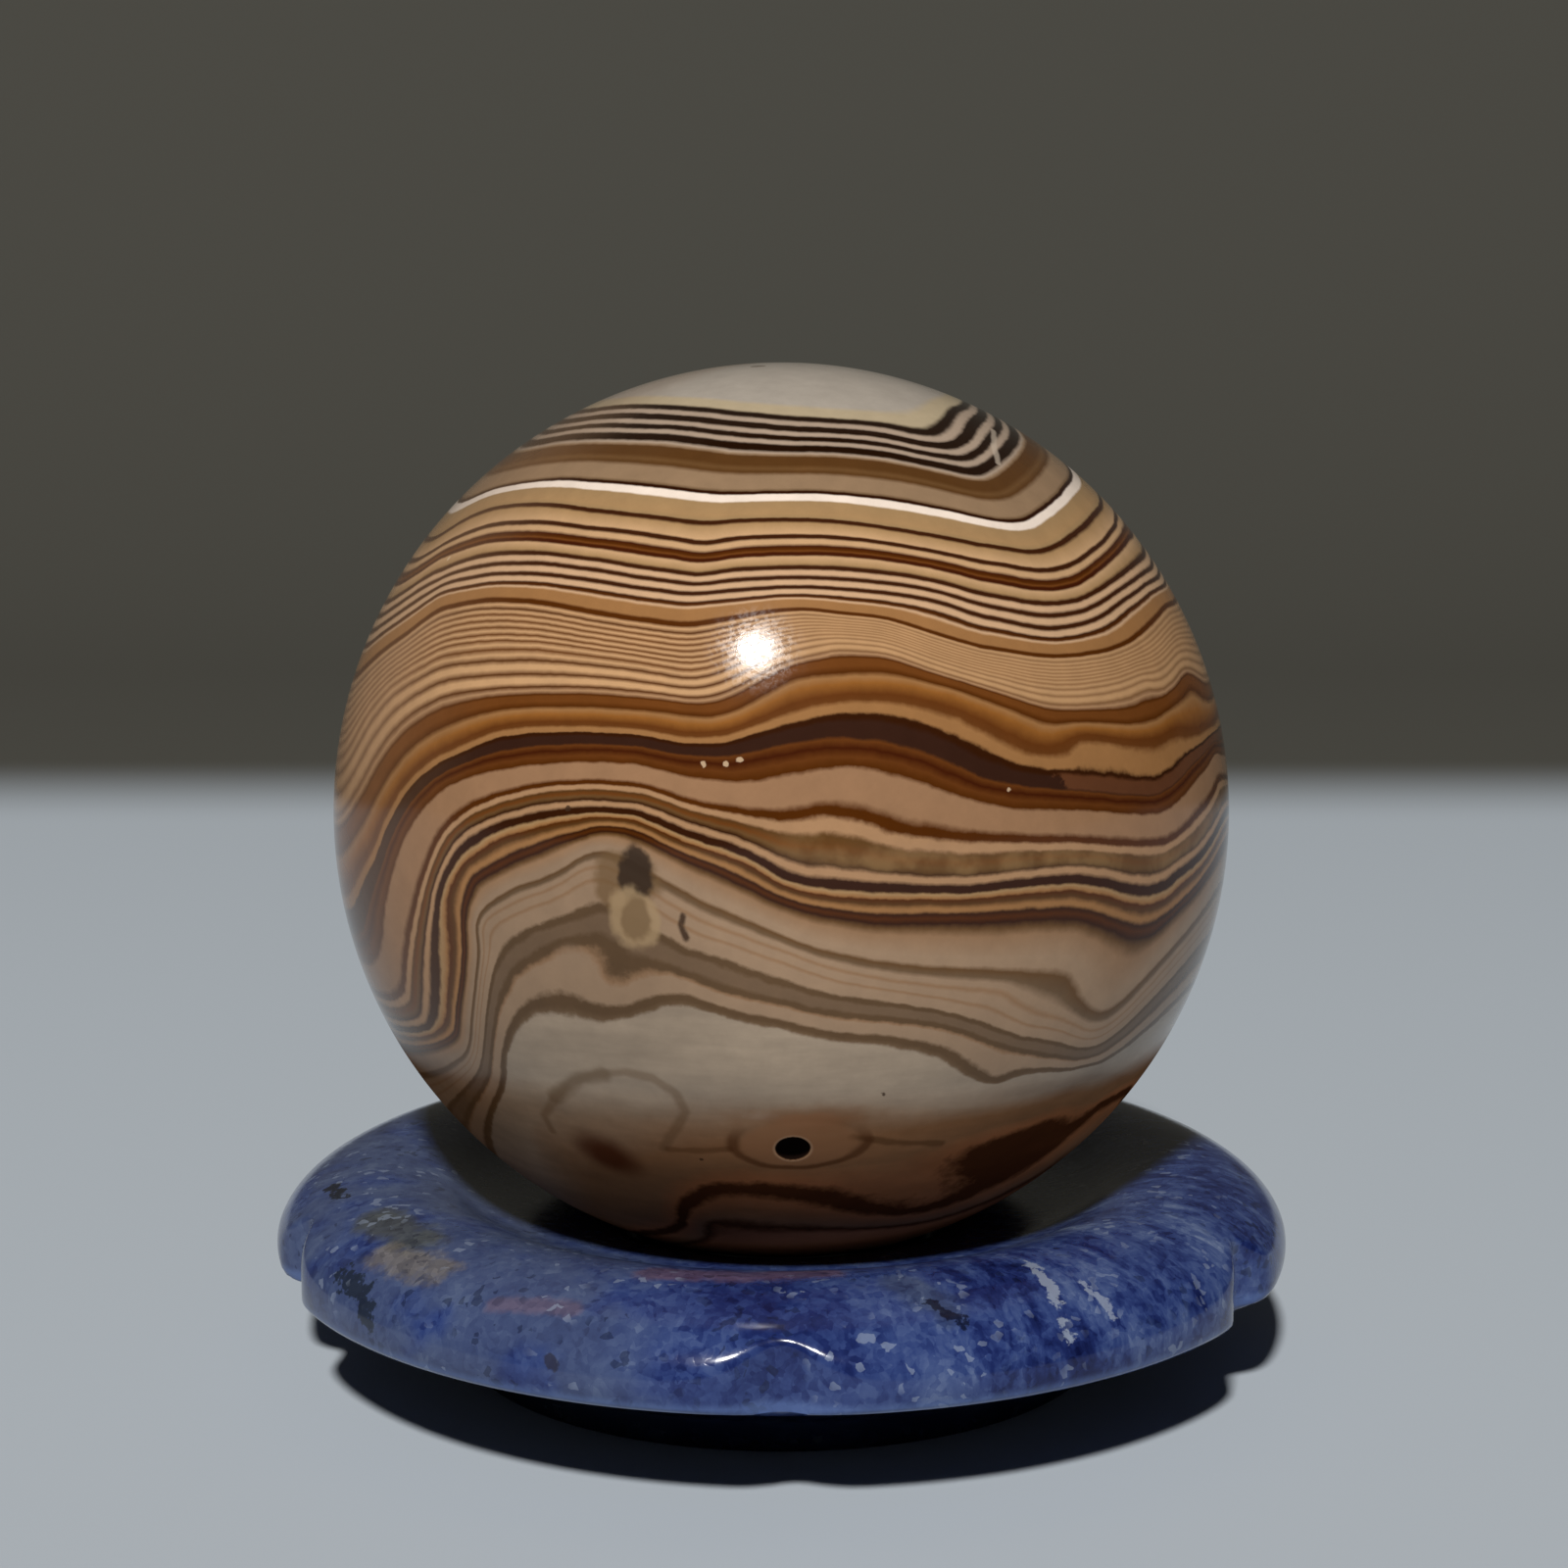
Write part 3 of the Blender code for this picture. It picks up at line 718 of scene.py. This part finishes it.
def agateMaterial():
    graph = Graph("agate_polished", **{"IOR": 1.54, "Specular IOR Level": 0.2})
    drift = graph.noise(260, 3.0) - 0.5
    ripple = graph.noise(1500, 2.0) - 0.5
    ragged = graph.noise(900, 4.0, 0.65) - 0.5
    flat = graph.attribute("level")
    rough = flat.step(712, 735) * 3.2 + flat.step(930, 950) * 9.0
    level = flat + drift * 2.4 + ripple * 1.2 + ragged * rough
    stops = [(float(at), agateTones[name]) for at, name in zip(agateBands[::2], agateBands[1::2])]
    colour = graph.longRamp(level, stops)
    east = graph.attribute("east")

    # The fine lines lose contrast to the right of the middle and on the far left.
    fineZone = level.step(630, 636) * level.step(706, 700)
    colour = graph.blend(fineZone * east.step(-8, 8) * 0.55, colour, tone(182, 140, 98))
    colour = graph.blend(fineZone * east.step(-46, -62) * 0.4, colour, tone(178, 140, 108))

    # The purple-black band breaks off on the right and goes on as a brown one.
    torn = east + ragged * 9
    broken = level.step(751, 753.5) * level.step(764, 761) * torn.step(33.6, 35.2)
    colour = graph.blend(broken * 0.7, colour, tone(112, 68, 42))
    colour = graph.blend(east.step(-34, -64) * 0.3, colour, tone(146, 114, 86))

    # Olive clouds in the brown band right of the middle.
    cloud = level.step(808, 810) * level.step(822, 817) * east.step(-6, 8)
    clouds = graph.blend(graph.noise(420, 3.0).step(0.4, 0.6), tone(150, 116, 74), tone(110, 78, 42))
    colour = graph.blend(cloud * 0.5, colour, clouds)

    # Level strata and mottling.
    low = level.step(1022, 1040)
    strata = graph.noise(330, 4.0, 0.6, vector=graph.moved(graph.place, (0.3, 0.3, 1.7)))
    colour = graph.brighten(colour, 1 + (strata - 0.5) * low * 0.75)
    colour = graph.brighten(colour, 1 - level.step(860, 880) * east.step(2, -20) * 0.2)
    mottle = graph.noise(620, 5.0, 0.65)
    colour = graph.brighten(colour, 0.84 + mottle * 0.32)

    # Markings around the mound's top.
    colour = graph.stain(colour, "soot", 700, 0.7, (1.05, 0.75), 0.75, tone(112, 84, 52))
    colour = graph.stain(colour, "mark", 900, 0.8, (1.05, 0.7), 0.9, tone(46, 30, 18))
    colour = graph.stain(colour, "tongue", 620, 0.9, (1.25, 0.9), 0.75, tone(170, 142, 106))
    colour = graph.stain(colour, "tongue", 520, 0.9, (0.9, 0.6), 0.9, tone(126, 100, 70))
    colour = graph.stain(colour, "eyelet", 700, 0.5, (0.9, 0.4), 0.4, tone(150, 124, 100))
    colour = graph.stain(colour, "crack", 900, 0.3, (0.34, 0.12), 0.9, tone(58, 36, 20))
    colour = graph.stain(colour, "fracture", 600, 0.3, (0.3, 0.1), 0.5, tone(214, 196, 176))

    # The ring with its reddish oval, and the eye round the pit.
    colour = graph.stain(colour, "ring", 500, 0.45, (0.5, 0.1), 0.55, tone(116, 92, 68))
    colour = graph.stain(colour, "arch", 500, 0.6, (0.85, 0.3), 0.55, tone(110, 88, 64))
    colour = graph.stain(colour, "oval", 500, 0.3, (1.2, 0.3), 0.95, tone(84, 46, 28))
    colour = graph.stain(colour, "whisker", 700, 0.4, (0.36, 0.08), 0.6, tone(108, 78, 52))
    colour = graph.stain(colour, "spur", 700, 0.5, (0.4, 0.08), 0.65, tone(104, 76, 50))
    colour = graph.stain(colour, "patch", 600, 0.9, (1.15, 0.4), 0.6, tone(138, 98, 64))
    colour = graph.stain(colour, "patch", 450, 1.1, (0.62, 0.2), 0.4, tone(166, 116, 80))
    eye = graph.attribute("eye") + (graph.noise(500, 3.0) - 0.5) * 0.2
    lower = graph.part(graph.place, "Z").step(0.0220, 0.0205)
    colour = graph.blend(eye.step(1.14, 1.03) * eye.step(0.84, 0.97) * lower * 0.75, colour, tone(98, 64, 40))
    colour = graph.blend(eye.step(0.95, 0.75) * 0.6, colour, tone(170, 130, 98))

    # Painted shade: where the ball turns under, its colour is darkened towards brown.
    height = graph.part(graph.place, "Z")
    turned = (height + drift * 0.0012).step(0.0243, 0.0212)
    colour = graph.blend(turned, colour, graph.vectorMaths("MULTIPLY", colour, (0.74, 0.62, 0.53)))

    hole = graph.fromBall(ball["pitDirection"])
    # Painted highlight: a pale ring round the pit's lip.
    colour = graph.blend(hole.step(1.28, 1.14) * hole.step(1.0, 1.1) * 0.3, colour, tone(206, 170, 136))
    # Painted shade: the pit's inside is painted near black.
    colour = graph.blend(hole.step(1.10, 1.02), colour, tone(20, 12, 9))

    for name, size, paint in (("white", 0.13, tone(206, 176, 142)), ("dark", 0.15, tone(66, 46, 32)),
                              ("top", 0.42, tone(112, 98, 84))):
        for place in specks[name]:
            spot = graph.fromBall(onBall(*place)) + (graph.noise(2300, 2.0) - 0.5) * 0.5
            colour = graph.blend(spot.step(size * 1.35, size * 0.75) * 0.85, colour, paint)

    # Polish: a little scuffed at the brow, and dull inside the pit and where the ball turns under.
    scratched = graph.noise(2600, 3.0, 0.7).step(0.42, 0.62) * graph.attribute("scuff").step(1.1, 0.35)
    polish = 0.12 + (graph.noise(700, 3.0) - 0.5) * 0.03 + scratched * 0.16
    relief = graph.noise(1900, 4.0, 0.7) * graph.attribute("scuff").step(1.15, 0.3)
    dull = height.step(0.0245, 0.0212).max(hole.step(1.12, 1.04))
    return graph.finish(colour, rough=polish, bump=relief, strength=0.10, distance=0.00006, dull=dull)


# Lines through each marking, in mm from the middle of the foot, and their half widths.
standMarks = {
    "pink": ([(-7.6, -25.9, 12.6), (-2.2, -26.5, 12.6), (2.6, -25.6, 12.6)], 1.5),
    "rose": ([(-17.2, -27.4, 11.2), (-14.9, -28.4, 11.5), (-12.4, -29.2, 11.6)], 0.85),
    "olive": ([(-25.6, -14.2, 12.5), (-24.2, -16.6, 12.6), (-22.8, -18.8, 12.5)], 2.2),
    "sand": ([(-24.6, -19.6, 12.0), (-22.6, -21.6, 12.0), (-20.8, -22.9, 12.1)], 1.7),
    "speckle": ([(-29.9, -5.9, 12.0), (-29.3, -7.6, 11.9), (-28.7, -9.2, 11.6)], 0.85),
    "soil": ([(-27.6, -19.0, 10.4), (-25.6, -21.6, 10.2), (-25.4, -23.3, 8.8)], 0.95),
    "spot": ([(-13.5, -31.4, 9.3), (-13.2, -31.5, 9.0)], 0.62),
    "chalk": ([(15.0, -23.9, 12.7), (16.1, -26.6, 12.0), (17.0, -29.4, 9.8)], 0.55),
    "quartz": ([(18.0, -25.4, 12.0), (19.0, -26.2, 11.3), (19.8, -27.0, 10.4)], 0.4),
    "smoke": ([(7.0, -27.4, 12.7), (8.4, -28.9, 12.2), (9.6, -29.8, 11.8)], 1.7),
    "coal": ([(8.4, -29.3, 12.0), (9.6, -30.3, 11.6), (10.6, -30.6, 11.2)], 0.6),
    # Painted shade: the notch line marks where the front notch's groove is darkened.
    "notch": ([(0.2, -30.0, 11.9), (0.3, -33.0, 9.8), (0.3, -33.8, 7.2)], 4.6),
}


def standMarkings(where):
    found = {name: lineAway(where, np.array(line)) / width for name, (line, width) in standMarks.items()}
    line = [(0.0, stand["wellHeight"]), *standProfile()]
    lengths = [math.dist(before, after) for before, after in zip(line, line[1:])]
    found["across"] = np.repeat(np.cumsum(lengths), stand["sides"])[:len(where)]
    return found


standTones = [(0.14, tone(14, 21, 62)), (0.32, tone(30, 43, 96)), (0.46, tone(50, 67, 120)),
              (0.60, tone(70, 87, 134)), (0.76, tone(98, 114, 152)), (0.94, tone(150, 163, 184))]


def stoneMaterial():
    graph = Graph("blue_stone_polished", **{"IOR": 1.5, "Specular IOR Level": 0.4})
    wander = graph.noise(520, 4.0, out="Color")
    shifted = graph.added(graph.place, graph.brighten(wander, 0.0012))
    crumbs = graph.cells(shifted, 2100)
    grains = graph.cells(shifted, 850)
    broad = graph.noise(95, 3.0, 0.55)
    middle = graph.noise(400, 5.0, 0.7)
    along = graph.added(graph.onRing(stand["rim"] - stand["halfWidth"]), graph.lifted("across", 0.30))
    streak = graph.noise(520, 5.0, 0.65, vector=along, distortion=0.5)
    right = graph.part(graph.place, "X").step(0.004, 0.014)
    left = graph.part(graph.place, "X").step(-0.004, -0.012)
    value = broad * 0.44 + middle * 0.42 + grains * 0.12 + crumbs * 0.15 - 0.105
    value = value + (streak - 0.5) * (0.3 + right * 1.0) + left * 0.05
    # Painted shade: the stone is darkened inside the front notch's groove.
    deep = graph.attribute("notch") + (graph.noise(260, 3.0) - 0.5) * 1.2
    value = value - deep.step(1.2, 0.3) * 0.12
    colour = graph.ramp(value, standTones)
    dusty = graph.blend(0.4, colour, tone(78, 86, 100))
    colour = graph.blend(left * graph.noise(200, 3.0).step(0.3, 0.55), colour, dusty)

    # Patches of other minerals.
    grainy = 0.62 + crumbs * 0.45 + grains * 0.3
    for name, edge, share, paint in (
            ("smoke", 1.6, 0.6, tone(58, 69, 92)), ("olive", 1.6, 0.75, tone(74, 76, 66)),
            ("sand", 2.2, 0.75, tone(112, 106, 100)), ("pink", 1.9, 0.6, tone(104, 78, 90)),
            ("rose", 2.0, 0.45, tone(112, 92, 104))):
        mark = graph.attribute(name) + (graph.noise(420, 5.0, 0.65) - 0.5) * edge
        colour = graph.blend(mark.step(1.1, 0.35) * share, colour, graph.brighten(paint[:3], grainy))
    for name, edge, share, paint in (
            ("speckle", 3.2, 0.9, tone(22, 24, 28)), ("soil", 3.6, 0.8, tone(30, 36, 42)),
            ("coal", 3.2, 0.85, tone(14, 17, 34)), ("spot", 1.2, 0.7, tone(46, 42, 46)),
            ("chalk", 4.2, 0.7, tone(150, 160, 178)), ("quartz", 4.0, 0.65, tone(150, 160, 180))):
        mark = graph.attribute(name) + (graph.noise(1100, 4.0, 0.65) - 0.5) * edge
        colour = graph.blend(mark.step(0.75, 0.5) * share, colour, paint)

    # Stray pale and dark grains all over.
    stray = graph.cells(graph.added(shifted, (0.01, 0.02, 0.03)), 2100)
    cluster = graph.noise(170, 3.0)
    colour = graph.blend((stray > 0.93) * cluster.step(0.48, 0.62) * 0.4, colour, tone(150, 163, 186))
    colour = graph.blend((stray < 0.09) * cluster.step(0.55, 0.4) * 0.5, colour, tone(16, 21, 46))
    height = graph.part(graph.place, "Z")
    # Painted reflection: a lighter blue line along the rim's lower edge.
    edge = height.step(0.0064, 0.0068) * height.step(0.0077, 0.0071)
    colour = graph.blend(edge * 0.4, colour, tone(104, 130, 184))
    # Painted shade: the stone darkens below the rim's lower edge, down to 15 percent over the foot.
    colour = graph.brighten(colour, height.step(0.0052, 0.0066) * 0.85 + 0.15)
    polish = 0.12 + crumbs * 0.06 + (middle - 0.5) * 0.06
    return graph.finish(colour, rough=polish, bump=middle + crumbs * 0.25, strength=0.08, distance=0.00006)


stage = {
    "size": 3.0,                          # metres
    "paleTo": 0.225, "darkFrom": 0.300,   # where the pale floor runs into the dark backdrop
    "bendAt": 0.45, "bend": 0.55, "steps": 16, "height": 1.6,
    "pale": (187, 196, 205), "dark": (85, 84, 78),
}


def makeStage():
    # One sheet that lies flat, bends up and stands behind.
    deselect()
    wide = stage["size"]
    bpy.ops.mesh.primitive_plane_add(size=wide, location=(0, stage["bendAt"] - wide / 2, 0))
    sheet = active()
    sheet.name = "floor_and_backdrop"
    mesh = sheet.data
    selectPoints(mesh, points(mesh)[:, 1] > 0)
    bpy.ops.object.mode_set(mode="EDIT")
    turn = math.pi / 2 / stage["steps"]
    for step in range(stage["steps"]):
        slope = turn * (step + 0.5)
        run = 2 * stage["bend"] * math.sin(turn / 2)
        move = (0, run * math.cos(slope), run * math.sin(slope))
        bpy.ops.mesh.extrude_edges_move(TRANSFORM_OT_translate={"value": move})
    bpy.ops.mesh.extrude_edges_move(TRANSFORM_OT_translate={"value": (0, 0, stage["height"])})
    bpy.ops.object.mode_set(mode="OBJECT")
    bpy.ops.object.transform_apply(location=True, rotation=True, scale=True)
    bpy.ops.object.shade_smooth()
    graph = Graph("plain_sheet", Roughness=0.95, **{"Specular IOR Level": 0.1})
    depth = graph.part(graph.place, "Y").step(stage["paleTo"], stage["darkFrom"])
    sheet.data.materials.append(graph.finish(graph.blend(depth, tone(*stage["pale"]), tone(*stage["dark"]))))


light = {"direction": (-0.10, -0.67, 0.735), "distance": 3.0, "spread": 0.28, "power": 88.0, "fill": 0.012}


def makeLights():
    where = ballCentre + Vector(light["direction"]).normalized() * light["distance"]
    bpy.ops.object.light_add(type="AREA", location=where)
    lamp = active()
    lamp.rotation_euler = (ballCentre - where).to_track_quat("-Z", "Y").to_euler()
    lamp.data.shape = "DISK"
    lamp.data.size = light["spread"]
    lamp.data.energy = light["power"]
    lamp.data.color = (1.0, 0.98, 0.95)
    world = bpy.data.worlds.new("studio")
    world.use_nodes = True
    world.node_tree.nodes["Background"].inputs["Color"].default_value = (1.0, 0.98, 0.96, 1.0)
    world.node_tree.nodes["Background"].inputs["Strength"].default_value = light["fill"]
    scene.world = world


def makeCamera():
    rise = math.radians(view["rise"])
    back = Vector((0, -math.cos(rise), math.sin(rise)))
    up = Vector((0, math.sin(rise), math.cos(rise)))
    eye = ballCentre + back * view["distance"]
    aim = ballCentre + Vector((view["right"], 0, 0)) + up * view["up"]
    bpy.ops.object.camera_add(location=eye)
    camera = active()
    camera.data.lens = view["lens"]
    camera.data.sensor_width = view["sensor"]
    camera.data.clip_start = 0.005
    camera.rotation_euler = (aim - eye).to_track_quat("-Z", "Y").to_euler()
    scene.camera = camera
    scene.view_settings.view_transform = "Standard"


print("shaping the ball")
agateBall = makeBall()
agateBall.data.materials.append(agateMaterial())
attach(agateBall, "root")
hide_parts("agate_sphere")
print("shaping the stand")
blueStand = makeStand()
blueStand.data.materials.append(stoneMaterial())
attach(blueStand, "root")
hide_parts("stone_stand")
print("stage, lights and camera")
makeStage()
makeLights()
makeCamera()
